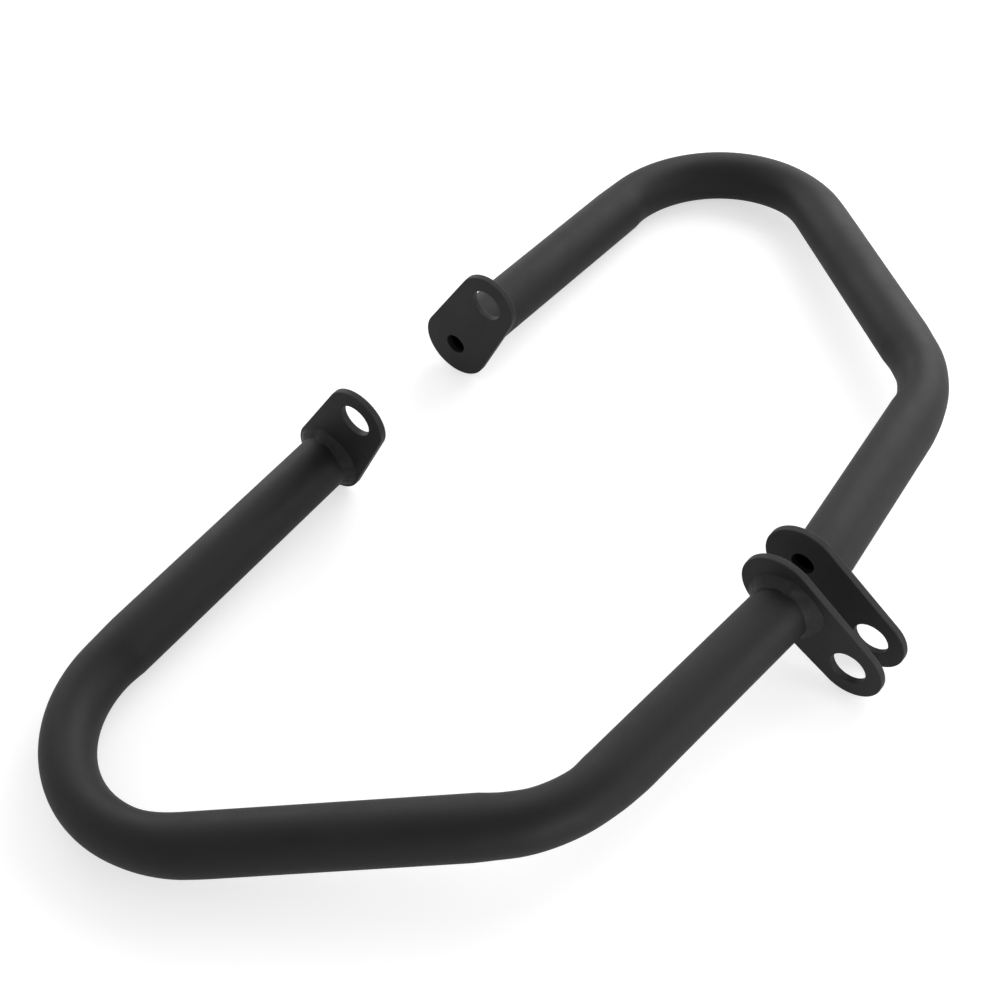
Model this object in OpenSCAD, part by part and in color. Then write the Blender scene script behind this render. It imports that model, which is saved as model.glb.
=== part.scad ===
// Motorcycle crash bars, as a left and right pair laid down the way they rest on a floor.
// Each side is one bent round tube with a bolt plate welded across both of its ends.
// X runs across the machine and is the axis of every bolt. Z is up from the floor.

/* [Tube] */
// Outer diameter of the tube
tube_d = 31.8; // [28:0.1:33]
// Wall thickness of the tube
tube_wall = 2.5; // [1.5:0.1:4]
// Amount by which bending draws in each face of the wall
bend_draw = 0.1; // [0.1:0.05:0.3]
// Centreline radius of the big outer bend
outer_bend_r = 70; // [50:1:85]
// Centreline radius of the elbow near the lower end
elbow_r = 76; // [50:1:100]
// Outer corner of the centreline, sideways from the middle plane
corner_x = 372; // [340:1:400]
// Outer corner of the centreline, below the upper end
corner_drop = 4; // [0:1:15]
// Elbow corner of the centreline, sideways from the middle plane
elbow_x = 174; // [160:1:190]
// Lower end of the centreline, below the upper end
lower_drop = 273; // [250:1:300]
// Elbow corner of the centreline, above the lower end
elbow_rise = 17.5; // [8:0.5:24]
// Angle by which the plane of each tube falls away to its side
side_fall_angle = 1.8; // [0:0.1:1.8]

/* [Bolt plates] */
// Thickness of the plates
plate_t = 4; // [3:0.5:8]
// Distance from the vent hole to the bolt hole
plate_span = 52; // [48:0.5:65]
// Width by which the wide end is larger all round than the tube
wide_rim = 6.1; // [5.5:0.1:9]
// Width of metal round the bolt hole at the narrow end
narrow_rim = 9.25; // [6:0.25:11]
// Diameter of the bolt holes
bolt_d = 19.5; // [10:0.5:22]
// Diameter of the vent holes, which open into the tube
vent_d = 13; // [6:0.5:16]
// Space between the inner faces of the two upper plates
upper_gap = 110; // [90:1:130]
// Space between the inner faces of the two lower plates
lower_gap = 18.5; // [10:0.5:30]
// Direction of the upper plates, from vent hole to bolt hole
upper_plate_angle = 125; // [115:0.5:135]
// Direction of the lower plates, from vent hole to bolt hole
lower_plate_angle = 218.5; // [210:0.5:225]
// Vent hole of the lower plates, above the tube's centre
lower_vent_rise = 8; // [6:0.5:9]
// Vent hole of the lower plates, ahead of the tube's centre
lower_vent_ahead = 4.5; // [2:0.5:7]

/* [Welds] */
// Leg of the fillet weld round each tube end
weld_leg = 5; // [3:0.5:6]

/* [Hidden] */
$fn = 48;

// Radii of the two ends of a plate
plate_wide_r = tube_d / 2 + wide_rim;
plate_narrow_r = bolt_d / 2 + narrow_rim;

// Inner faces of the right-hand plates, and the faces that the tube ends stand on
upper_x = upper_gap / 2;
lower_x = lower_gap / 2;
upper_seat_x = upper_x + plate_t;
lower_seat_x = lower_x + plate_t;

// Centreline of the tube in its own plane, measured from the upper end
function along_plane(x) = (x - upper_x) / cos(side_fall_angle);
upper_end = [0, 0];
corner = [along_plane(corner_x), -corner_drop];
elbow = [along_plane(elbow_x), elbow_rise - lower_drop];
lower_end = [along_plane(lower_x), -lower_drop];

function heading(p, q) = atan2(q.y - p.y, q.x - p.x);
function ahead(p, angle, distance) = p + distance * [cos(angle), sin(angle)];

upper_heading = heading(upper_end, corner);
middle_heading = heading(corner, elbow);
lower_heading = heading(elbow, lower_end);
outer_turn = upper_heading - middle_heading;
elbow_turn = middle_heading - lower_heading;

// Length that each bend takes from the straight runs next to it
outer_setback = outer_bend_r * tan(outer_turn / 2);
elbow_setback = elbow_r * tan(elbow_turn / 2);

// Straight runs, and how far the end runs go on past their seats before they are cut
upper_run = norm(corner - upper_end) - outer_setback;
middle_run = norm(elbow - corner) - outer_setback - elbow_setback;
lower_run = norm(lower_end - elbow) - elbow_setback;
overrun = tube_d;

// Length over which a straight run covers the end of the bend next to it
lap = tube_wall / 2;

// How far below its seat a bead is drawn, and a height over the seat that takes all of it in
bead_root = 2 * weld_leg;
bead_reach = bead_root + tube_d;

// Centres of the holes in the YZ plane, as [y, z] from the upper end of the tube
lower_axis = [-lower_drop, (upper_x - lower_x) * tan(side_fall_angle)];
upper_vent = [0, 0];
upper_bolt = ahead(upper_vent, upper_plate_angle, plate_span);
lower_vent = lower_axis + [lower_vent_ahead, lower_vent_rise];
lower_bolt = ahead(lower_vent, lower_plate_angle, plate_span);

// Tilt and lift that bring the ends of all four plates down to the floor
feet = upper_vent - lower_bolt;
rest_tilt = asin((plate_wide_r - plate_narrow_r) / norm(feet)) - atan2(feet.y, feet.x);
function tilted_y(p) = p.x * cos(rest_tilt) - p.y * sin(rest_tilt);
function tilted_z(p) = p.x * sin(rest_tilt) + p.y * cos(rest_tilt);
lift = plate_wide_r - tilted_z(upper_vent);
front_y = tilted_y(upper_vent) + plate_wide_r;
back_y = tilted_y(lower_bolt) - plate_narrow_r;

// Wall of the tube, cut across
module section(draw) {
    difference() {
        circle(d = tube_d - 2 * draw);
        circle(d = tube_d - 2 * tube_wall + 2 * draw);
    }
}

// Straight piece of tube along X, which laps over the bends at its ends
module run(length) {
    translate([-lap, 0, 0])
        rotate([0, 90, 0])
            linear_extrude(length + 2 * lap)
                section(0);
}

// Bend to the right, which leaves the origin along X
module bend(turn, r) {
    translate([0, -r, 0])
        rotate([0, 0, 90])
            rotate_extrude(angle = -turn)
                translate([r, 0])
                    section(bend_draw);
}

// Moves on to the far end of such a bend
module past_bend(turn, r) {
    translate([0, -r, 0])
        rotate([0, 0, -turn])
            translate([0, r, 0])
                children();
}

// Whole course of the tube in its own plane, which runs past both seats
module course() {
    rotate([0, 0, upper_heading])
        translate([-overrun, 0, 0]) {
            run(overrun + upper_run);
            translate([overrun + upper_run, 0, 0]) {
                bend(outer_turn, outer_bend_r);
                past_bend(outer_turn, outer_bend_r) {
                    run(middle_run);
                    translate([middle_run, 0, 0]) {
                        bend(elbow_turn, elbow_r);
                        past_bend(elbow_turn, elbow_r)
                            run(lower_run + overrun);
                    }
                }
            }
        }
}

module in_tube_plane() {
    translate([upper_x, 0, 0])
        rotate([0, side_fall_angle, 0])
            children();
}

// Everything on the inner side of a seat, near the tube end that stands on it
module behind_seat(seat_x, y) {
    reach = overrun + tube_d;
    translate([seat_x - reach, y - tube_d, -reach])
        cube([reach, 2 * tube_d, 2 * reach]);
}

module tube() {
    color([0.09, 0.09, 0.095])
        difference() {
            in_tube_plane()
                course();
            behind_seat(upper_seat_x, 0);
            behind_seat(lower_seat_x, -lower_drop);
        }
}

// Tapered outline with round ends, with the vent hole at the origin and the bolt hole on X
module plate_outline() {
    flank = acos((plate_wide_r - plate_narrow_r) / plate_span);
    wide = plate_wide_r * [cos(flank), sin(flank)];
    narrow = plate_narrow_r * [cos(flank), sin(flank)] + [plate_span, 0];
    circle(plate_wide_r);
    translate([plate_span, 0])
        circle(plate_narrow_r);
    polygon([wide, [wide.x, -wide.y], [narrow.x, -narrow.y], narrow]);
}

// Places an outline upright in the YZ plane, with its vent hole at a point
module on_plate(x, vent, angle) {
    translate([x, vent.x, vent.y])
        rotate([90, 0, 90])
            rotate([0, 0, angle])
                children();
}

module plate(x, vent, angle) {
    color([0.1, 0.1, 0.105])
        on_plate(x, vent, angle)
            linear_extrude(plate_t)
                difference() {
                    plate_outline();
                    circle(d = vent_d);
                    translate([plate_span, 0])
                        circle(d = bolt_d);
                }
}

// Conical bead round a tube end, which starts low enough for a slanted seat to cut it all round
module bead_cone(from, angle) {
    r = tube_d / 2;
    translate([from.x, from.y, 0])
        rotate([0, 0, angle])
            rotate([0, 90, 0])
                rotate_extrude()
                    polygon([[r, -bead_root], [r + weld_leg + bead_root, -bead_root], [r, weld_leg]]);
}

// Bead that stands on a seat and keeps within the outline of its plate
module weld(seat_x, vent, angle) {
    color([0.13, 0.13, 0.135])
        intersection() {
            children();
            on_plate(seat_x, vent, angle)
                linear_extrude(bead_reach)
                    plate_outline();
        }
}

module upper_weld() {
    weld(upper_seat_x, upper_vent, upper_plate_angle)
        in_tube_plane()
            bead_cone(ahead(upper_end, upper_heading, plate_t), upper_heading);
}

module lower_weld() {
    weld(lower_seat_x, lower_vent, lower_plate_angle)
        in_tube_plane()
            bead_cone(ahead(lower_end, lower_heading, -plate_t), lower_heading + 180);
}

// Lays one side down on the floor, with the middle of the pair over the origin
module laid() {
    translate([0, -(front_y + back_y) / 2, lift])
        rotate([rest_tilt, 0, 0])
            children();
}

module right_side() {
    laid()
        children();
}

module left_side() {
    laid()
        mirror([1, 0, 0])
            children();
}

module left_tube() { left_side() tube(); }
module right_tube() { right_side() tube(); }
module left_upper_plate() { left_side() plate(upper_x, upper_vent, upper_plate_angle); }
module right_upper_plate() { right_side() plate(upper_x, upper_vent, upper_plate_angle); }
module left_lower_plate() { left_side() plate(lower_x, lower_vent, lower_plate_angle); }
module right_lower_plate() { right_side() plate(lower_x, lower_vent, lower_plate_angle); }
module left_upper_weld() { left_side() upper_weld(); }
module right_upper_weld() { right_side() upper_weld(); }
module left_lower_weld() { left_side() lower_weld(); }
module right_lower_weld() { right_side() lower_weld(); }

left_tube();
right_tube();
left_upper_plate();
right_upper_plate();
left_lower_plate();
right_lower_plate();
left_upper_weld();
right_upper_weld();
left_lower_weld();
right_lower_weld();
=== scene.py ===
"""Looks of a pair of motorcycle crash bars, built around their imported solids.

Each side is one bent round tube with a bolt plate welded across both of its ends. Lengths are
in metres and angles in radians, in the frame of the solids: X runs across the machine and is
the axis of every bolt, and Z is up from the floor that the pair lies on.
"""

import logging
import math
from dataclasses import dataclass, field
from enum import Enum

import bmesh
import bpy
from bmesh.types import BMEdge, BMesh, BMVert
from mathutils import Matrix, Vector, noise


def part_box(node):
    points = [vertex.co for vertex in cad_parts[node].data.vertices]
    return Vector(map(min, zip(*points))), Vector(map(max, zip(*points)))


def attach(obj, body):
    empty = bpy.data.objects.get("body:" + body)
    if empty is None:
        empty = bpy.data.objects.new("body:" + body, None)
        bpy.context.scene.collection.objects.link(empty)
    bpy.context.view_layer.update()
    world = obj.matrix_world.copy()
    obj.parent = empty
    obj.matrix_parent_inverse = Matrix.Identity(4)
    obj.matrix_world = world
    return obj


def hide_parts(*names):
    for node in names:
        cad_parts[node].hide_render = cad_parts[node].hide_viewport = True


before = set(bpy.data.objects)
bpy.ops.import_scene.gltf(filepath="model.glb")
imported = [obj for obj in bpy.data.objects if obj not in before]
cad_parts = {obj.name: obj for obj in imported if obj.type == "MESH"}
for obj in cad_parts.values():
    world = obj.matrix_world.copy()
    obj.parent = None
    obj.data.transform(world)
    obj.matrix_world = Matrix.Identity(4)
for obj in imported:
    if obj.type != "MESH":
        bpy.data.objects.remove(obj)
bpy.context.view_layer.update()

BODY = "root"
RIM_LAYER = "rim"
Z_AXIS = Vector((0, 0, 1))

# Distance below which two points are one
HAIR = 1e-6

# Angle between two faces of a plate from which the edge between them is a rim
RIM_ANGLE = math.radians(60)

log = logging.getLogger("crash_bars")


class Side(Enum):
    """Side of the machine, with the factor that turns the right-hand shape into it."""

    LEFT = -1
    RIGHT = 1

    @property
    def label(self) -> str:
        """Word that starts the names of this side's pieces."""
        return self.name.lower()

    @property
    def flip(self) -> Matrix:
        """Mirror of a right-hand shape in the middle plane, or nothing for the right."""
        return Matrix.Diagonal((self.value, 1, 1, 1))


class End(Enum):
    """End of a tube, with the factor for the way along the course that leads off its plate."""

    UPPER = 1
    LOWER = -1

    @property
    def label(self) -> str:
        """Word in the names of the pieces at this end."""
        return self.name.lower()


def ahead(point: Vector, angle: float, distance: float) -> Vector:
    """Point in the XY plane at a distance from another, in the direction of an angle."""
    return point + Vector((math.cos(angle), math.sin(angle), 0)) * distance


def eased(share: float) -> float:
    """Share from 0 to 1 that starts and ends gently."""
    share = min(max(share, 0.0), 1.0)
    return share * share * (3 - 2 * share)


def steps_for(length: float, gap: float) -> int:
    """Number of equal steps, each no longer than a gap, that cover a length."""
    return max(1, math.ceil(length / gap))


@dataclass(frozen=True)
class Flat:
    """Flat that bending presses into one side of a tube, as a depth along the bend.

    Args:
        depth: Depth where it is deepest.
        bite: Share of the depth that comes at once, where the tool gripped the tube.
        lead: Length before the bend over which the bite comes.
        peak: Share of the bend by which the depth is full.
        fade: Share of the bend from which the depth dies away.
        tail: Length past the end of the bend by which it has died away.
        creased: Whether the bite starts with a crease.
        settle: Length into the bend by which the bite is full.
    """

    depth: float
    bite: float
    lead: float
    peak: float
    fade: float
    tail: float
    creased: bool = False
    settle: float = 0.005

    def at(self, along: float, length: float) -> float:
        """Gives the depth at a place.

        Args:
            along: Distance along the centreline from the start of the bend.
            length: Length of the bend along the centreline.

        Returns:
            The depth in metres.
        """
        start = min(max((along + self.lead) / (self.lead + self.settle), 0), 1)
        begun = 1 - (1 - start) ** 2 if self.creased else eased(start)
        grown = eased((along - self.settle) / (self.peak * length - self.settle))
        faded = eased((along - self.fade * length) / ((1 - self.fade) * length + self.tail))
        return self.depth * (self.bite * begun + (1 - self.bite) * grown) * (1 - faded)


@dataclass(frozen=True)
class Bend:
    """One bend to the right in the tube's own plane.

    Args:
        centre: Point that the bend turns about.
        radius: Radius of the centreline.
        start: Direction from the centre to where the bend starts.
        turn: Angle that it turns through.
        inner: Flat on the inner side.
        outer: Flat on the outer side.
        reach: Distance from the centreline up to which things are pressed, in tube radii.
    """

    centre: Vector
    radius: float
    start: float
    turn: float
    inner: Flat
    outer: Flat
    reach: float = 1.1

    def press(self, verts: list[BMVert], tube_r: float) -> None:
        """Flattens the part of a round tube that lies in this bend and close to it.

        Args:
            verts: Vertices of the tube's outer face, in the tube's own plane.
            tube_r: Outer radius of the tube.
        """
        middle = self.start - self.turn / 2
        for vert in verts:
            arm = vert.co - self.centre
            off_middle = (middle - math.atan2(arm.y, arm.x) + math.pi) % math.tau - math.pi
            turned = min(max(self.turn / 2 + off_middle, 0), self.turn)
            outwards = ahead(Vector(), self.start - turned, 1)
            onwards = ahead(Vector(), self.start - turned - math.pi / 2, 1)
            out = arm.dot(outwards) - self.radius
            if abs(out) > self.reach * tube_r:
                continue
            along = self.radius * turned + arm.dot(onwards)
            flat = self.inner if out < 0 else self.outer
            vert.co -= outwards * out * flat.at(along, self.radius * self.turn) / tube_r


@dataclass(frozen=True)
class SidePlan:
    """Where things lie on the right-hand side before it is laid down on the floor.

    X is measured from the middle plane. Y and Z are measured from the tube's upper end.

    Args:
        upper_gap: Space between the inner faces of the two upper plates.
        lower_gap: Space between the inner faces of the two lower plates.
        corner_x: Outer corner of the centreline, from the middle plane.
        corner_drop: That corner, below the upper end.
        elbow_x: Elbow corner of the centreline, from the middle plane.
        elbow_rise: That corner, above the lower end.
        lower_drop: Lower end of the centreline, below the upper end.
        side_fall: Angle by which the tube's own plane falls away to its side.
        plate_t: Thickness of the plates.
        plate_span: Distance from the vent hole to the bolt hole.
        wide_r: Radius of the plates' vent end.
        narrow_r: Radius of their bolt end.
        upper_angle: Direction of the upper plates, from vent hole to bolt hole.
        lower_angle: Direction of the lower plates, from vent hole to bolt hole.
        lower_vent_rise: Vent hole of the lower plates, above the tube's centre.
        lower_vent_ahead: That hole, ahead of the tube's centre.
    """

    upper_gap: float = 0.110
    lower_gap: float = 0.0185
    corner_x: float = 0.372
    corner_drop: float = 0.004
    elbow_x: float = 0.174
    elbow_rise: float = 0.0175
    lower_drop: float = 0.273
    side_fall: float = math.radians(1.8)
    plate_t: float = 0.004
    plate_span: float = 0.052
    wide_r: float = 0.022
    narrow_r: float = 0.019
    upper_angle: float = math.radians(125)
    lower_angle: float = math.radians(218.5)
    lower_vent_rise: float = 0.008
    lower_vent_ahead: float = 0.0045

    def inner_x(self, end: End) -> float:
        """Inner face of the plate at an end, from the middle plane."""
        return (self.upper_gap if end is End.UPPER else self.lower_gap) / 2

    def seat_x(self, end: End) -> float:
        """Outer face of that plate, which the tube stands on."""
        return self.inner_x(end) + self.plate_t

    def along_plane(self, x: float) -> float:
        """Distance in the tube's own plane that reaches a distance from the middle plane."""
        return (x - self.inner_x(End.UPPER)) / math.cos(self.side_fall)

    @property
    def corners(self) -> list[Vector]:
        """Corners of the tube's centreline in its own plane, from the upper end."""
        return [
            Vector((0, 0, 0)),
            Vector((self.along_plane(self.corner_x), -self.corner_drop, 0)),
            Vector((self.along_plane(self.elbow_x), self.elbow_rise - self.lower_drop, 0)),
            Vector((self.along_plane(self.inner_x(End.LOWER)), -self.lower_drop, 0)),
        ]

    @property
    def tube_plane(self) -> Matrix:
        """Place of the tube's own plane, which falls away to the side."""
        shift = Matrix.Translation((self.inner_x(End.UPPER), 0, 0))
        return shift @ Matrix.Rotation(self.side_fall, 4, "Y")

    def vent(self, end: End) -> Vector:
        """Centre of a plate's vent hole, on its inner face."""
        if end is End.UPPER:
            return Vector((self.inner_x(end), 0, 0))
        axis_rise = (self.inner_x(End.UPPER) - self.inner_x(end)) * math.tan(self.side_fall)
        y = self.lower_vent_ahead - self.lower_drop
        return Vector((self.inner_x(end), y, axis_rise + self.lower_vent_rise))

    def plate_place(self, end: End) -> Matrix:
        """Place of a plate that is drawn in XY with its vent hole at the origin."""
        angle = self.upper_angle if end is End.UPPER else self.lower_angle
        # X, Y and Z of the drawing become Y, Z and X
        upright = Matrix(((0, 0, 1, 0), (1, 0, 0, 0), (0, 1, 0, 0), (0, 0, 0, 1)))
        return Matrix.Translation(self.vent(end)) @ upright @ Matrix.Rotation(angle, 4, "Z")

    def laid(self, side: Side) -> Matrix:
        """Move that lays a side down, so that the ends of all four plates touch the floor."""
        bolt = self.plate_place(End.LOWER) @ Vector((self.plate_span, 0, 0))
        feet = self.vent(End.UPPER) - bolt
        # The feet are round and differ in size, so the line through their centres leans
        lean = math.asin((self.wide_r - self.narrow_r) / math.hypot(feet.y, feet.z))
        turn = Matrix.Rotation(lean - math.atan2(feet.z, feet.y), 4, "X")
        front = self.wide_r
        back = (turn @ bolt).y - self.narrow_r
        lift = Matrix.Translation((0, -(front + back) / 2, self.wide_r))
        return lift @ turn @ side.flip


class Sweep:
    """Open end of a round shell, which is carried along straight runs and bends."""

    def __init__(self, bm: BMesh, radius: float, sides: int, start: Vector, heading: float) -> None:
        """Starts the shell with one ring.

        Args:
            bm: Mesh that the shell is built in.
            radius: Outer radius of the shell.
            sides: Number of faces round it.
            start: Centre of the first ring, in the XY plane.
            heading: Direction in which the shell grows.
        """
        self.bm = bm
        self.centre = start
        self.heading = heading
        across = Matrix.Rotation(heading, 4, "Z") @ Matrix.Rotation(math.pi / 2, 4, "Y")
        place = Matrix.Translation(start) @ across
        bmesh.ops.create_circle(bm, segments=sides, radius=radius, matrix=place)
        self.ring = bm.edges[:]

    def run(self, length: float, gap: float) -> None:
        """Carries the end straight on over a length, with a ring at least every gap."""
        steps = steps_for(length, gap)
        step = ahead(Vector(), self.heading, length / steps)
        for _ in range(steps):
            made = bmesh.ops.extrude_edge_only(self.bm, edges=self.ring)["geom"]
            verts = {item for item in made if isinstance(item, BMVert)}
            self.ring = [
                item for item in made if isinstance(item, BMEdge) and verts.issuperset(item.verts)
            ]
            bmesh.ops.translate(self.bm, verts=list(verts), vec=step)
        self.centre = ahead(self.centre, self.heading, length)

    def bend(self, turn: float, radius: float, gap: float) -> Vector:
        """Carries the end round a bend to the right.

        Args:
            turn: Angle of the bend.
            radius: Radius of its centreline.
            gap: Longest distance from ring to ring.

        Returns:
            The point that the bend turns about.
        """
        pivot = ahead(self.centre, self.heading - math.pi / 2, radius)
        verts = list({vert for edge in self.ring for vert in edge.verts})
        made = bmesh.ops.spin(
            self.bm,
            geom=verts + self.ring,
            cent=pivot,
            axis=Z_AXIS,
            angle=-turn,
            steps=steps_for(turn * radius, gap),
        )["geom_last"]
        self.ring = [item for item in made if isinstance(item, BMEdge)]
        self.heading -= turn
        self.centre = ahead(pivot, self.heading + math.pi / 2, radius)
        return pivot


class Pen:
    """Tip of a chain of edges that is drawn in the XY plane."""

    def __init__(self, bm: BMesh, x: float, y: float) -> None:
        """Sets the pen down at a point."""
        self.bm = bm
        self.tip = bmesh.ops.create_vert(bm, co=(x, y, 0))["vert"][0]

    def line(self, x: float, y: float) -> None:
        """Draws a straight line to a point."""
        made = bmesh.ops.extrude_vert_indiv(self.bm, verts=[self.tip])["verts"]
        self.tip = made[0]
        self.tip.co = (x, y, 0)

    def arc(self, centre_x: float, angle: float, steps: int) -> None:
        """Draws an arc about a point on the X axis."""
        made = bmesh.ops.spin(
            self.bm,
            geom=[self.tip],
            cent=(centre_x, 0, 0),
            axis=Z_AXIS,
            angle=angle,
            steps=steps,
        )["geom_last"]
        self.tip = next(item for item in made if isinstance(item, BMVert))

    def close(self) -> None:
        """Joins the end of the chain to its start and fills it with a face."""
        bmesh.ops.remove_doubles(self.bm, verts=self.bm.verts[:], dist=HAIR)
        bmesh.ops.contextual_create(self.bm, geom=self.bm.edges[:])


@dataclass(frozen=True)
class BentTube:
    """Round tube with a big outer bend and an elbow, cut flat at both of its seats.

    Args:
        plan: Where the tube lies.
        diameter: Outer diameter.
        wall: Thickness of the wall.
        outer_bend_r: Radius of the centreline in the outer bend.
        elbow_r: Radius of the centreline in the elbow.
        bend_flats: Flats on the inner and on the outer side of the outer bend.
        elbow_flats: Flats on the inner and on the outer side of the elbow.
        sides: Number of faces round the tube.
        run_gap: Longest distance from ring to ring on a straight run.
        bend_gap: Longest distance from ring to ring in a bend and beside it.
        beside_bend: Length of a straight run that has its rings as close as a bend.
    """

    plan: SidePlan
    diameter: float = 0.0318
    wall: float = 0.0025
    outer_bend_r: float = 0.070
    elbow_r: float = 0.076
    bend_flats: tuple[Flat, Flat] = (
        Flat(0.0023, bite=0.5, lead=0.008, peak=0.68, fade=0.78, tail=0, creased=True),
        Flat(0.00195, bite=0.7, lead=0.018, peak=0.52, fade=0.78, tail=0.013),
    )
    elbow_flats: tuple[Flat, Flat] = (
        Flat(0.0016, bite=0.5, lead=0.008, peak=0.35, fade=0.7, tail=-0.003, creased=True),
        Flat(0.00175, bite=0.6, lead=0.015, peak=0.5, fade=0.75, tail=0.012),
    )
    sides: int = 72
    run_gap: float = 0.012
    bend_gap: float = 0.002
    beside_bend: float = 0.022

    @property
    def radius(self) -> float:
        """Outer radius of the tube."""
        return self.diameter / 2

    @property
    def headings(self) -> list[float]:
        """Directions of the three straight runs in the tube's own plane."""
        corners = self.plan.corners
        steps = [b - a for a, b in zip(corners, corners[1:])]
        return [math.atan2(step.y, step.x) for step in steps]

    def axis(self, end: End) -> Vector:
        """Direction that leads from a plate into the tube, on the laid-out side."""
        heading = self.headings[0 if end is End.UPPER else -1]
        into = ahead(Vector(), heading, end.value)
        return self.plan.tube_plane.to_3x3() @ into

    def seat_centre(self, end: End) -> Vector:
        """Point where the centreline meets the seat at an end."""
        corner = self.plan.corners[0 if end is End.UPPER else -1]
        start = self.plan.tube_plane @ corner
        axis = self.axis(end)
        return start + axis * ((self.plan.seat_x(end) - start.x) / axis.x)

    def _swept(self, bm: BMesh) -> None:
        """Sweeps the outer face past both seats and presses its bends."""
        corners = self.plan.corners
        lengths = [(b - a).length for a, b in zip(corners, corners[1:])]
        headings = self.headings
        turns = [a - b for a, b in zip(headings, headings[1:])]
        radii = [self.outer_bend_r, self.elbow_r]
        flats = [self.bend_flats, self.elbow_flats]
        setbacks = [r * math.tan(turn / 2) for r, turn in zip(radii, turns)]
        start = ahead(corners[0], headings[0], -self.diameter)
        sweep = Sweep(bm, self.radius, self.sides, start, headings[0])
        bends = []
        taken = -self.diameter
        for length, setback, radius, turn, pair in zip(lengths, setbacks, radii, turns, flats):
            self._straight(sweep, length - setback - taken)
            start_angle = sweep.heading + math.pi / 2
            centre = sweep.bend(turn, radius, self.bend_gap)
            bends.append(Bend(centre, radius, start_angle, turn, *pair))
            taken = setback
        self._straight(sweep, lengths[-1] - taken + self.diameter)
        for bend in bends:
            bend.press(bm.verts[:], self.radius)

    def _straight(self, sweep: Sweep, length: float) -> None:
        """Sweeps a straight run, with its rings closer together beside the bends."""
        sweep.run(self.beside_bend, self.bend_gap)
        sweep.run(length - 2 * self.beside_bend, self.run_gap)
        sweep.run(self.beside_bend, self.bend_gap)

    def _cut(self, bm: BMesh, end: End) -> None:
        """Cuts the wall off at a seat and closes the cut.

        Args:
            bm: Mesh with the tube's whole wall, on the laid-out side.
            end: End that is cut.
        """
        # Only the half near the seat is cut, because the upper seat's plane meets both halves
        middle = -self.plan.lower_drop / 2
        near = [
            face for face in bm.faces
            if end.value * (face.calc_center_median().y - middle) > 0
        ]
        geom = set(near)
        for face in near:
            geom.update(face.edges, face.verts)
        bmesh.ops.bisect_plane(
            bm,
            geom=list(geom),
            plane_co=(self.plan.seat_x(end), 0, 0),
            plane_no=(-1, 0, 0),
            clear_outer=True,
        )
        open_edges = [edge for edge in bm.edges if edge.is_boundary]
        bmesh.ops.bridge_loops(bm, edges=open_edges)

    def build(self) -> BMesh:
        """Makes the tube as one closed wall.

        Returns:
            The mesh on the laid-out right-hand side.
        """
        bm = bmesh.new()
        self._swept(bm)
        bmesh.ops.recalc_face_normals(bm, faces=bm.faces[:])
        bmesh.ops.solidify(bm, geom=bm.faces[:], thickness=self.wall)
        bmesh.ops.transform(bm, matrix=self.plan.tube_plane, verts=bm.verts[:])
        for end in End:
            self._cut(bm, end)
        return bm


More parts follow.
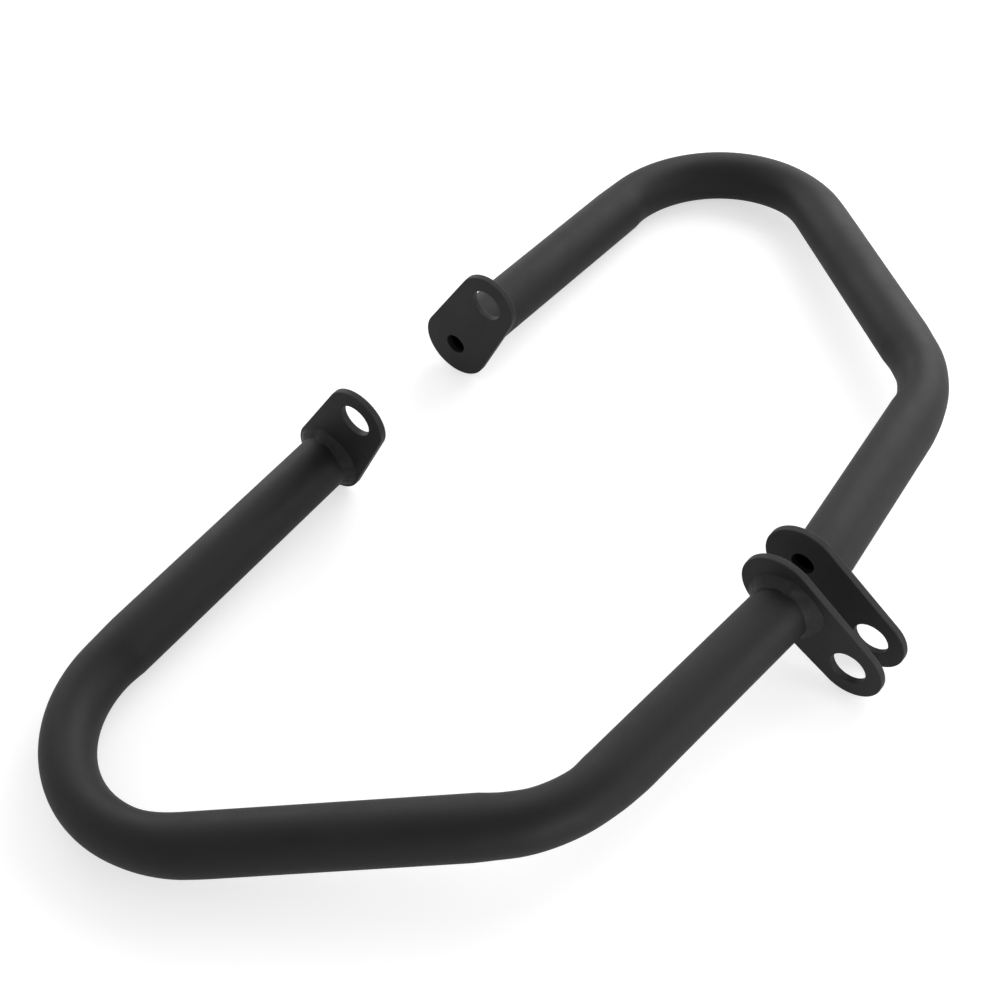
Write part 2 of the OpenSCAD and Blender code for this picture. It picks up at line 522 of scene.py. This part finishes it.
@dataclass(frozen=True)
class BoltPlate:
    """Tapered plate with round ends, a vent hole and a bolt hole, with its rims broken.

    Args:
        plan: Where the plates lie, with the sizes of their outline.
        bolt_r: Radius of the bolt hole.
        vent_r: Radius of the vent hole.
        rim_r: Radius of the outline's broken rims.
        hole_rim_r: Radius of the holes' broken rims.
        arc_steps: Number of edges in half of a round end.
        hole_steps: Number of edges in half of a hole.
        rim_steps: Number of faces across a broken rim.
    """

    plan: SidePlan
    bolt_r: float = 0.00975
    vent_r: float = 0.0065
    rim_r: float = 0.0006
    hole_rim_r: float = 0.0005
    arc_steps: int = 40
    hole_steps: int = 32
    rim_steps: int = 4

    @property
    def flank(self) -> float:
        """Direction from each round end's centre to where its straight flank starts."""
        return math.acos((self.plan.wide_r - self.plan.narrow_r) / self.plan.plate_span)

    def outside(self, along: float, across: float) -> tuple[float, float, float]:
        """Says how far a point lies outside the outline.

        Args:
            along: Distance from the vent hole towards the bolt hole.
            across: Distance from the line through both holes.

        Returns:
            The distance, below 0 for a point inside, and the direction outwards.
        """
        normal = (math.cos(self.flank), math.sin(self.flank))
        reach = abs(across) * normal[0] - along * normal[1]
        foot = -reach
        side = math.copysign(1, across)
        if foot < 0:
            length = math.hypot(along, across)
            return length - self.plan.wide_r, along / length, across / length
        if foot > self.plan.plate_span * normal[1]:
            past = along - self.plan.plate_span
            length = math.hypot(past, across)
            return length - self.plan.narrow_r, past / length, across / length
        distance = along * normal[0] + abs(across) * normal[1] - self.plan.wide_r
        return distance, normal[0], normal[1] * side

    def build(self, end: End) -> BMesh:
        """Draws half of the outline with half of each hole, mirrors it and gives it thickness.

        Args:
            end: End of the tube that the plate belongs to.

        Returns:
            The mesh on the laid-out right-hand side.
        """
        bm = bmesh.new()
        rim_layer = bm.verts.layers.float.new(RIM_LAYER)
        span = self.plan.plate_span
        pen = Pen(bm, -self.plan.wide_r, 0)
        pen.arc(0, self.flank - math.pi, self.arc_steps)
        start = ahead(Vector((span, 0, 0)), self.flank, self.plan.narrow_r)
        pen.line(start.x, start.y)
        pen.arc(span, -self.flank, self.arc_steps)
        pen.line(span + self.bolt_r, 0)
        pen.arc(span, math.pi, self.hole_steps)
        pen.line(self.vent_r, 0)
        pen.arc(0, math.pi, self.hole_steps)
        pen.line(-self.plan.wide_r, 0)
        pen.close()
        bmesh.ops.mirror(bm, geom=bm.faces[:] + bm.edges[:] + bm.verts[:], axis="Y", merge_dist=HAIR)
        made = bmesh.ops.extrude_face_region(bm, geom=bm.faces[:])["geom"]
        top = [item for item in made if isinstance(item, BMVert)]
        bmesh.ops.translate(bm, verts=top, vec=(0, 0, self.plan.plate_t))
        bmesh.ops.recalc_face_normals(bm, faces=bm.faces[:])
        self._break_rims(bm, rim_layer)
        bmesh.ops.transform(bm, matrix=self.plan.plate_place(end), verts=bm.verts[:])
        return bm

    def _break_rims(self, bm: BMesh, rim_layer: bmesh.types.BMLayerItem) -> None:
        """Rounds the rims of the outline and of the holes, and marks them for the finish, which
        paints a highlight on them and makes them less rough.
        """
        for wanted, radius in ((False, self.rim_r), (True, self.hole_rim_r)):
            edges = [
                edge for edge in bm.edges
                if len(edge.link_faces) == 2
                and edge.calc_face_angle() > RIM_ANGLE
                and self._on_hole(edge.verts[0].co) == wanted
            ]
            rounded = bmesh.ops.bevel(
                bm,
                geom=edges,
                offset=radius,
                offset_type="OFFSET",
                segments=self.rim_steps,
                profile=0.5,
                affect="EDGES",
                material=-1,
            )
            strip = set(rounded["faces"])
            for vert in rounded["verts"]:
                vert[rim_layer] = 1.0 if strip.issuperset(vert.link_faces) else 0.0

    def _on_hole(self, point: Vector) -> bool:
        """Tells whether a point of the flat drawing lies on the wall of a hole."""
        vent_gap = math.hypot(point.x, point.y) - self.vent_r
        bolt_gap = math.hypot(point.x - self.plan.plate_span, point.y) - self.bolt_r
        return min(vent_gap, bolt_gap) < self.hole_rim_r


@dataclass(frozen=True)
class WeldBead:
    """Fillet bead round a tube's end, smooth under its coat, with one low lump at its stop.

    Args:
        tube: Tube that the bead closes.
        plate: Plate that it stands on.
        leg: Reach of the bead along the tube and along the plate.
        fullness: Power of its face, where 2 is round, 1 is straight and less is hollow.
        sink: Depth to which the bead reaches into the wall of the tube.
        profile_steps: Number of faces across the bead.
        ring_steps: Number of faces round it.
        ripples: Number of ripples round it.
        ripple_height: Height of the ripples.
        ripple_lag: Angle of a ripple's wave by which its middle hangs back.
        toe_wander: Share of the leg by which the toes wander in and out.
        toe_scale: Radius in the noise of one way round, where more gives shorter waves.
        toe_layers: Falloff, spacing and number of the layers of that wandering.
        wander: Height of the slow unevenness of the face.
        wander_scale: Radius in the noise of one way round for that unevenness.
        lump_height: Height of the lump where the weld was stopped.
        lump_width: Angle round the tube from the lump's middle to its flank.
        rim_gap: Distance that the bead keeps from the rim of the plate.
        stops: Directions round the tube in which the lumps lie.
    """

    tube: BentTube
    plate: BoltPlate
    leg: float = 0.005
    fullness: float = 0.88
    sink: float = 0.0005
    profile_steps: int = 12
    ring_steps: int = 216
    ripples: int = 25
    ripple_height: float = 0.00003
    ripple_lag: float = 2.0
    toe_wander: float = 0.32
    toe_scale: float = 2.0
    toe_layers: tuple[float, float, int] = (1.6, 2.0, 2)
    wander: float = 0.0007
    wander_scale: float = 3.0
    lump_height: float = 0.0012
    lump_width: float = 0.26
    rim_gap: float = 0.0014
    stops: dict[End, float] = field(
        default_factory=lambda: {End.UPPER: math.radians(200), End.LOWER: math.radians(75)}
    )

    def _section(self, bm: BMesh) -> None:
        """Draws the bead's section, with X outwards from the tube's axis and Y along it."""
        inner = self.tube.radius - self.sink
        pen = Pen(bm, inner, 0)
        pen.line(inner, self.leg)
        for step in range(self.profile_steps + 1):
            angle = math.pi / 2 * step / self.profile_steps
            out = self.leg * math.sin(angle) ** (2 / self.fullness)
            up = self.leg * abs(math.cos(angle)) ** (2 / self.fullness)
            pen.line(self.tube.radius + out, up)
        pen.line(inner, 0)
        bmesh.ops.remove_doubles(bm, verts=bm.verts[:], dist=HAIR)

    def _puddle(self, angle: float, share: float, stop: float) -> float:
        """Height of the uneven face over a plain bead.

        Args:
            angle: Direction round the tube.
            share: Place across the face, from 0 at the tube to 1 at the plate.
            stop: Direction of the lump.

        Returns:
            The height in metres.
        """
        crescent = math.sin(math.pi * share)
        lag = self.ripple_lag * crescent
        ripple = self.ripple_height * math.cos(self.ripples * angle - lag)
        spot = Vector((math.cos(angle), math.sin(angle), share)) * self.wander_scale
        uneven = self.wander * noise.noise(spot)
        off = (angle - stop + math.pi) % math.tau - math.pi
        lump = self.lump_height * math.exp(-((off / self.lump_width) ** 2))
        return (ripple + uneven + lump) * crescent

    def _ripple(self, bm: BMesh, end: End) -> None:
        """Moves the toes of the plain bead in and out, and its face to its puddled shape."""
        corner = self.tube.radius
        for vert in bm.verts:
            radius = math.hypot(vert.co.x, vert.co.z)
            out, up = radius - corner, vert.co.y
            if up < HAIR and out < HAIR:
                continue
            angle = math.atan2(vert.co.z, vert.co.x)
            spot = Vector((math.cos(angle), math.sin(angle), self.stops[end])) * self.toe_scale
            growth = self.toe_wander * noise.fractal(spot, *self.toe_layers)
            if up > HAIR and out > HAIR:
                share = math.atan2(out, up) / (math.pi / 2)
                growth += self._puddle(angle, share, self.stops[end]) / math.hypot(out, up)
            grown = corner + out * (1 + growth) if out > HAIR else radius
            vert.co.x *= grown / radius
            vert.co.z *= grown / radius
            vert.co.y = up * (1 + growth)

    def _seat(self, end: End) -> Matrix:
        """Move that stands the bead on its plate, slanted as far as the tube is."""
        axis = self.tube.axis(end)
        first = axis.cross(Z_AXIS).normalized()
        second = first.cross(axis)
        # Both ways across are slid along the tube's axis into the plane of the plate
        level = [way - axis * (way.x / axis.x) for way in (first, second)]
        place = Matrix((level[0], axis, level[1])).transposed().to_4x4()
        return Matrix.Translation(self.tube.seat_centre(end)) @ place

    def _keep_on_plate(self, bm: BMesh, end: End) -> None:
        """Draws in what would stand over the rim of the plate."""
        place = self.tube.plan.plate_place(end)
        away = place.inverted()
        for vert in bm.verts:
            flat = away @ vert.co
            distance, along, across = self.plate.outside(flat.x, flat.y)
            over = distance + self.rim_gap
            if over > 0:
                vert.co = place @ (flat - Vector((along, across, 0)) * over)

    def build(self, end: End) -> BMesh:
        """Spins the section round the tube and ripples it.

        Args:
            end: End of the tube that the bead closes.

        Returns:
            The mesh on the laid-out right-hand side.
        """
        bm = bmesh.new()
        self._section(bm)
        bmesh.ops.spin(
            bm,
            geom=bm.verts[:] + bm.edges[:],
            cent=(0, 0, 0),
            axis=(0, 1, 0),
            angle=math.tau,
            steps=self.ring_steps,
            use_merge=True,
        )
        self._ripple(bm, end)
        bmesh.ops.transform(bm, matrix=self._seat(end), verts=bm.verts[:])
        self._keep_on_plate(bm, end)
        return bm


class Value:
    """Number on its way through a material, on which sums add Math nodes."""

    def __init__(self, bench: "Bench", socket: bpy.types.NodeSocket) -> None:
        """Wraps a socket that gives a number."""
        self.bench = bench
        self.socket = socket

    def _sum(self, operation: str, first: "Value | float", second: "Value | float") -> "Value":
        """Adds one Math node."""
        node = self.bench.node("ShaderNodeMath", {"operation": operation}, {0: first, 1: second})
        return Value(self.bench, node.outputs[0])

    def __add__(self, other: "Value | float") -> "Value":
        """This number plus another."""
        return self._sum("ADD", self, other)

    def __radd__(self, other: float) -> "Value":
        """Another number plus this."""
        return self._sum("ADD", other, self)

    def __sub__(self, other: "Value | float") -> "Value":
        """This number less another."""
        return self._sum("SUBTRACT", self, other)

    def __rsub__(self, other: float) -> "Value":
        """Another number less this."""
        return self._sum("SUBTRACT", other, self)

    def __mul__(self, other: "Value | float") -> "Value":
        """This number times another."""
        return self._sum("MULTIPLY", self, other)

    def __rmul__(self, other: float) -> "Value":
        """Another number times this."""
        return self._sum("MULTIPLY", other, self)

    def largest(self, other: "Value | float") -> "Value":
        """The larger of this number and another."""
        return self._sum("MAXIMUM", self, other)


class Bench:
    """Node tree of a material or world, with the ways of adding to it."""

    # Strength of each finer layer of a noise pattern, against the layer before it
    LAYER_STRENGTH = 0.55

    def __init__(self, tree: bpy.types.NodeTree) -> None:
        """Clears a tree to build in."""
        self.tree = tree
        tree.nodes.clear()

    def node(
        self, kind: str, settings: dict | None = None, sockets: dict | None = None
    ) -> bpy.types.Node:
        """Adds a node.

        Args:
            kind: Type of the node.
            settings: Properties of the node, which are set first.
            sockets: Values, or sockets to link, for its inputs by name or number.

        Returns:
            The node.
        """
        made = self.tree.nodes.new(kind)
        for name, value in (settings or {}).items():
            setattr(made, name, value)
        for name, value in (sockets or {}).items():
            source = value.socket if isinstance(value, Value) else value
            if isinstance(source, bpy.types.NodeSocket):
                self.tree.links.new(source, made.inputs[name])
            else:
                made.inputs[name].default_value = source
        return made

    def grain(self, scale: float, detail: float, where: bpy.types.NodeSocket) -> Value:
        """Adds a noise pattern.

        Args:
            scale: Number of its blobs in a metre.
            detail: Number of finer layers over the first.
            where: Coordinates that it reads.

        Returns:
            The noise, from about 0 to 1.
        """
        sockets = {
            "Vector": where,
            "Scale": scale,
            "Detail": detail,
            "Roughness": self.LAYER_STRENGTH,
        }
        noise_node = self.node("ShaderNodeTexNoise", {"noise_dimensions": "3D"}, sockets)
        return Value(self, noise_node.outputs[0])

    def ramp(self, value: bpy.types.NodeSocket, low: float, high: float) -> Value:
        """Adds a gentle rise from 0 at a low value to 1 at a high one."""
        settings = {"interpolation_type": "SMOOTHSTEP"}
        sockets = {"Value": value, "From Min": low, "From Max": high}
        return Value(self, self.node("ShaderNodeMapRange", settings, sockets).outputs[0])

    def blend(
        self,
        share: Value,
        low: "tuple | bpy.types.NodeSocket",
        high: "tuple | bpy.types.NodeSocket",
    ) -> bpy.types.NodeSocket:
        """Mixes two colours by a share."""
        mixed = self.node(
            "ShaderNodeMix",
            {"data_type": "RGBA", "clamp_factor": True},
            {0: share, 6: low, 7: high},
        )
        return mixed.outputs[2]


@dataclass(frozen=True)
class PowderCoat:
    """Satin black powder coat, baked on over the steel.

    Args:
        slot: Material slot of the record that the coat is for.
        dark: Colour where the coat lies thick.
        light: Colour where it lies thin.
        rim: Colour on the broken rims, lighter than the coat, as a painted highlight.
        roughness: Roughness of the surface.
        specular: Strength of its gloss, where 0.5 is plain.
        peel_height: Height of the orange peel.
        grit_height: Height of the fine grain of the powder.
        cloud: Blobs in a metre, and finer layers, of the slow mottling.
        patch: The same of small patches.
        peel: The same of the orange peel.
        grit: The same of the grain.
        mottle_span: Range of the slow noise in which the colour turns.
        tone_shares: Shares of mottling, patches and grain in the colour.
        rim_highlight_share: Share of the rims' painted highlight colour that the patches let
            through.
        rough_swings: Swing of the roughness with the mottling and with the patches.
        rim_polish: Roughness that the broken rims have lost.
    """

    slot: str
    dark: tuple[float, float, float, float] = (0.0068, 0.0066, 0.0068, 1)
    light: tuple[float, float, float, float] = (0.0124, 0.0112, 0.0113, 1)
    rim: tuple[float, float, float, float] = (0.028, 0.028, 0.029, 1)
    roughness: float = 0.6
    specular: float = 0.3
    peel_height: float = 5e-6
    grit_height: float = 1.4e-6
    cloud: tuple[float, float] = (26, 3)
    patch: tuple[float, float] = (140, 2)
    peel: tuple[float, float] = (520, 1)
    grit: tuple[float, float] = (2600, 2)
    mottle_span: tuple[float, float] = (0.3, 0.7)
    tone_shares: tuple[float, float, float] = (0.6, 0.25, 0.15)
    rim_highlight_share: float = 0.9
    rough_swings: tuple[float, float] = (0.07, 0.1)
    rim_polish: float = 0.06

    @property
    def title(self) -> str:
        """Name of the material."""
        return f"{self.slot}_finish"

    def material(self) -> None:
        """Makes the material, which reads Object coordinates and the rim attribute."""
        made = bpy.data.materials.new(self.title)
        made.use_nodes = True
        bench = Bench(made.node_tree)
        where = bench.node("ShaderNodeTexCoord").outputs["Object"]
        cloud, patch, peel, grit = (
            bench.grain(scale, detail, where)
            for scale, detail in (self.cloud, self.patch, self.peel, self.grit)
        )
        rim_node = bench.node("ShaderNodeAttribute", {"attribute_name": RIM_LAYER})
        rim = Value(bench, rim_node.outputs["Fac"])
        mottle = bench.ramp(cloud.socket, *self.mottle_span)
        mottle_share, patch_share, grit_share = self.tone_shares
        tone = mottle * mottle_share + patch * patch_share + grit * grit_share
        coat = bench.blend(tone, self.dark, self.light)
        # Painted highlight: the broken rims are painted lighter in the rim colour, wherever the
        # patches let it through
        colour = bench.blend(rim * (patch * self.rim_highlight_share), coat, self.rim)
        mottle_swing, patch_swing = self.rough_swings
        swing = (mottle - 0.5) * mottle_swing + (patch - 0.5) * patch_swing
        roughness = self.roughness + swing - rim * self.rim_polish
        height = peel * self.peel_height + grit * self.grit_height
        bump = bench.node(
            "ShaderNodeBump",
            None,
            {"Strength": 1.0, "Distance": 1.0, "Height": height},
        )
        shader = bench.node(
            "ShaderNodeBsdfPrincipled",
            None,
            {
                "Base Color": colour,
                "Roughness": roughness,
                "Normal": bump.outputs[0],
                "Specular IOR Level": self.specular,
            },
        )
        bench.node("ShaderNodeOutputMaterial", None, {"Surface": shader.outputs[0]})


@dataclass(frozen=True)
class CrashBars:
    """The pair: both sides, each with its tube, its two plates and its two beads.

    Args:
        plan: Where things lie.
        tube_coat: Finish of the tubes.
        plate_coat: Finish of the plates.
        weld_coat: Finish of the beads.
    """

    plan: SidePlan = SidePlan()
    tube_coat: PowderCoat = PowderCoat("tube_coat")
    plate_coat: PowderCoat = PowderCoat("plate_coat")
    weld_coat: PowderCoat = PowderCoat("weld_coat", peel_height=9e-6)

    def build(self) -> None:
        """Makes every piece of both sides in place of its solid."""
        tube = BentTube(self.plan)
        plate = BoltPlate(self.plan)
        bead = WeldBead(tube, plate)
        for coat in (self.tube_coat, self.plate_coat, self.weld_coat):
            coat.material()
        for side in Side:
            self._place(tube.build(), side, "tube", "bent_tube", self.tube_coat)
            for end in End:
                spot = end.label
                flat = plate.build(end)
                self._place(flat, side, f"{spot}_plate", f"{spot}_bolt_plate", self.plate_coat)
                ring = bead.build(end)
                self._place(ring, side, f"{spot}_weld", f"{spot}_bead", self.weld_coat)

    def _place(self, bm: BMesh, side: Side, node: str, name: str, coat: PowderCoat) -> None:
        """Lays a right-hand shape down on its side of the pair and hands it to the frame.

        Args:
            bm: Mesh on the laid-out right-hand side, which is used up.
            side: Side that the piece belongs to.
            node: Name of the solid that it stands for, without its side.
            name: Name of the piece, without its side.
            coat: Finish of the piece.
        """
        bmesh.ops.transform(bm, matrix=self.plan.laid(side), verts=bm.verts[:])
        bmesh.ops.remove_doubles(bm, verts=bm.verts[:], dist=HAIR)
        bmesh.ops.recalc_face_normals(bm, faces=bm.faces[:])
        for face in bm.faces:
            face.smooth = True
        mesh = bpy.data.meshes.new(f"{side.label}_{name}")
        bm.to_mesh(mesh)
        bm.free()
        mesh.materials.append(bpy.data.materials[coat.title])
        piece = bpy.data.objects.new(f"{side.label}_{name}", mesh)
        bpy.context.scene.collection.objects.link(piece)
        piece.modifiers.new("flats", "WEIGHTED_NORMAL").keep_sharp = True
        solid = f"{side.label}_{node}"
        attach(piece, BODY)
        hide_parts(solid)
        self._report(piece, solid)

    @staticmethod
    def _report(piece: bpy.types.Object, solid: str) -> None:
        """Logs a piece's size and how far its box lies from its solid's."""
        low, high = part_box(solid)
        off = max(
            max(abs(min(values) - low[i]), abs(max(values) - high[i]))
            for i, values in enumerate(zip(*piece.bound_box))
        )
        faces = len(piece.data.polygons)
        log.info("%s: %d faces, box within %.2f mm of %s", piece.name, faces, off * 1000, solid)


@dataclass(frozen=True)
class Softbox:
    """Square lamp that looks at a point.

    Args:
        name: Name of the lamp.
        place: Where it hangs.
        size: Width of the square.
        power: Power in watts.
        aim: Point that it looks at.
    """

    name: str
    place: tuple[float, float, float]
    size: float
    power: float
    aim: tuple[float, float, float] = (0, 0, 0.03)

    def light(self) -> None:
        """Hangs the lamp."""
        data = bpy.data.lights.new(self.name, "AREA")
        data.shape = "SQUARE"
        data.size = self.size
        data.energy = self.power
        lamp = bpy.data.objects.new(self.name, data)
        lamp.location = self.place
        way = Vector(self.aim) - Vector(self.place)
        lamp.rotation_euler = way.to_track_quat("-Z", "Y").to_euler()
        bpy.context.scene.collection.objects.link(lamp)


@dataclass(frozen=True)
class Studio:
    """Pale floor, soft lamps and the camera at the photograph's viewing angle.

    Args:
        floor_size: Width of the floor.
        floor_shade: Colour of the floor.
        floor_glow: Strength that whitens the floor near the object where the camera sees it.
        far_glow: That strength where the lamps no longer reach the floor.
        gloss_glow: Strength that whitens it where it shows in gloss or glass.
        near_reach: Distance from the middle up to which the floor is near.
        far_reach: Distance from which it is far.
        room_light: Strength of the even light from all sides.
        dark_light: Strength in gloss of the room's dark side, in front of the object.
        dark_turn: Direction in which the middle of that side lies.
        dark_rise: Angle of its middle over the horizon.
        dark_core: Angle round its middle that is plainly dark.
        dark_reach: Angle round its middle past which the room is white.
        lamps: Lamps of the studio.
        azimuth: Turn of the camera about the upright.
        elevation: Height of the camera over the horizon, as an angle.
        roll: Turn of the camera about its own axis.
        aim: Point that it looks at.
        distance: Distance from that point.
        lens: Focal length in millimetres.
        nearest: Distance from the camera from which things are seen.
    """

    floor_size: float = 60.0
    floor_shade: tuple[float, float, float, float] = (0.6, 0.6, 0.6, 1)
    floor_glow: float = 0.6
    far_glow: float = 0.72
    gloss_glow: float = 0.3
    near_reach: float = 0.7
    far_reach: float = 2.5
    room_light: float = 0.5
    dark_light: float = 0.3
    dark_turn: float = math.radians(-110)
    dark_rise: float = math.radians(45)
    dark_core: float = math.radians(37)
    dark_reach: float = math.radians(78)
    lamps: tuple[Softbox, ...] = (
        Softbox("key_box", (1.15, 0.0, 0.8), 1.3, 15.5),
        Softbox("rear_box", (0.4, 1.2, 0.5), 0.8, 4.5),
        Softbox("fill_box", (0.32, -0.7, 0.26), 0.5, 2.2),
        Softbox("front_box", (-0.45, -0.75, 0.11), 0.2, 1.9),
    )
    azimuth: float = math.radians(-48.357)
    elevation: float = math.radians(48.207)
    roll: float = math.radians(-4.464)
    aim: tuple[float, float, float] = (-0.04043, 0.04247, 0.04022)
    distance: float = 0.86734
    lens: float = 58.2
    nearest: float = 0.01

    @staticmethod
    def _sight(bench: Bench) -> tuple[Value, Value]:
        """Gives 1 for what the camera sees itself, and 1 for what it sees in gloss or glass."""
        path = bench.node("ShaderNodeLightPath")
        camera, gloss, glass = (
            Value(bench, path.outputs[name])
            for name in ("Is Camera Ray", "Is Glossy Ray", "Is Transmission Ray")
        )
        return camera, gloss.largest(glass)

    def _floor(self) -> None:
        """Lays the floor, which keeps the shadow and glows white only where it is seen."""
        bm = bmesh.new()
        bmesh.ops.create_grid(bm, x_segments=1, y_segments=1, size=self.floor_size / 2)
        mesh = bpy.data.meshes.new("floor")
        bm.to_mesh(mesh)
        bm.free()
        made = bpy.data.materials.new("floor_paper")
        made.use_nodes = True
        bench = Bench(made.node_tree)
        paper = bench.node("ShaderNodeBsdfDiffuse", None, {"Color": self.floor_shade})
        camera, gloss = self._sight(bench)
        where = bench.node("ShaderNodeTexCoord").outputs["Object"]
        away = bench.node("ShaderNodeVectorMath", {"operation": "LENGTH"}, {0: where})
        far = bench.ramp(away.outputs["Value"], self.near_reach, self.far_reach)
        seen = self.floor_glow + far * (self.far_glow - self.floor_glow)
        strength = camera * seen + gloss * self.gloss_glow
        glow = bench.node("ShaderNodeEmission", None, {"Strength": strength})
        both = bench.node("ShaderNodeAddShader", None, {0: paper.outputs[0], 1: glow.outputs[0]})
        bench.node("ShaderNodeOutputMaterial", None, {"Surface": both.outputs[0]})
        mesh.materials.append(made)
        floor = bpy.data.objects.new("floor", mesh)
        bpy.context.scene.collection.objects.link(floor)

    def _room(self) -> None:
        """Fills the room with even light, and shows it white in gloss apart from a dark side."""
        world = bpy.data.worlds.new("room")
        world.use_nodes = True
        bench = Bench(world.node_tree)
        way = bench.node("ShaderNodeTexCoord").outputs["Generated"]
        level = ahead(Vector(), self.dark_turn, math.cos(self.dark_rise))
        facing = bench.node(
            "ShaderNodeVectorMath",
            {"operation": "DOT_PRODUCT"},
            {0: way, 1: level + Z_AXIS * math.sin(self.dark_rise)},
        )
        outside, inside = math.cos(self.dark_reach), math.cos(self.dark_core)
        dark = bench.ramp(facing.outputs["Value"], outside, inside)
        shown = 1 - dark * (1 - self.dark_light)
        camera, gloss = self._sight(bench)
        seen = self.room_light + camera * (1 - self.room_light)
        strength = seen + gloss * (shown - self.room_light)
        white = {"Color": (1, 1, 1, 1), "Strength": strength}
        sky = bench.node("ShaderNodeBackground", None, white)
        bench.node("ShaderNodeOutputWorld", None, {"Surface": sky.outputs[0]})
        bpy.context.scene.world = world

    def _camera(self) -> None:
        """Stands the camera where the photograph was taken from."""
        turn = Matrix.Rotation(self.azimuth, 4, "Z")
        tip = Matrix.Rotation(math.pi / 2 - self.elevation, 4, "X")
        turned = turn @ tip @ Matrix.Rotation(self.roll, 4, "Z")
        data = bpy.data.cameras.new("camera")
        data.lens = self.lens
        data.clip_start = self.nearest
        camera = bpy.data.objects.new("camera", data)
        back = Matrix.Translation((0, 0, self.distance))
        camera.matrix_world = Matrix.Translation(self.aim) @ turned @ back
        bpy.context.scene.collection.objects.link(camera)
        bpy.context.scene.camera = camera

    def build(self) -> None:
        """Sets up the floor, the room, the lamps and the camera."""
        self._floor()
        self._room()
        for lamp in self.lamps:
            lamp.light()
        self._camera()
        bpy.context.scene.view_settings.view_transform = "Standard"


def main() -> None:
    """Builds the pair and its studio."""
    logging.basicConfig(level=logging.INFO, format="%(name)s: %(message)s")
    CrashBars().build()
    Studio().build()


if __name__ == "__main__":
    main()
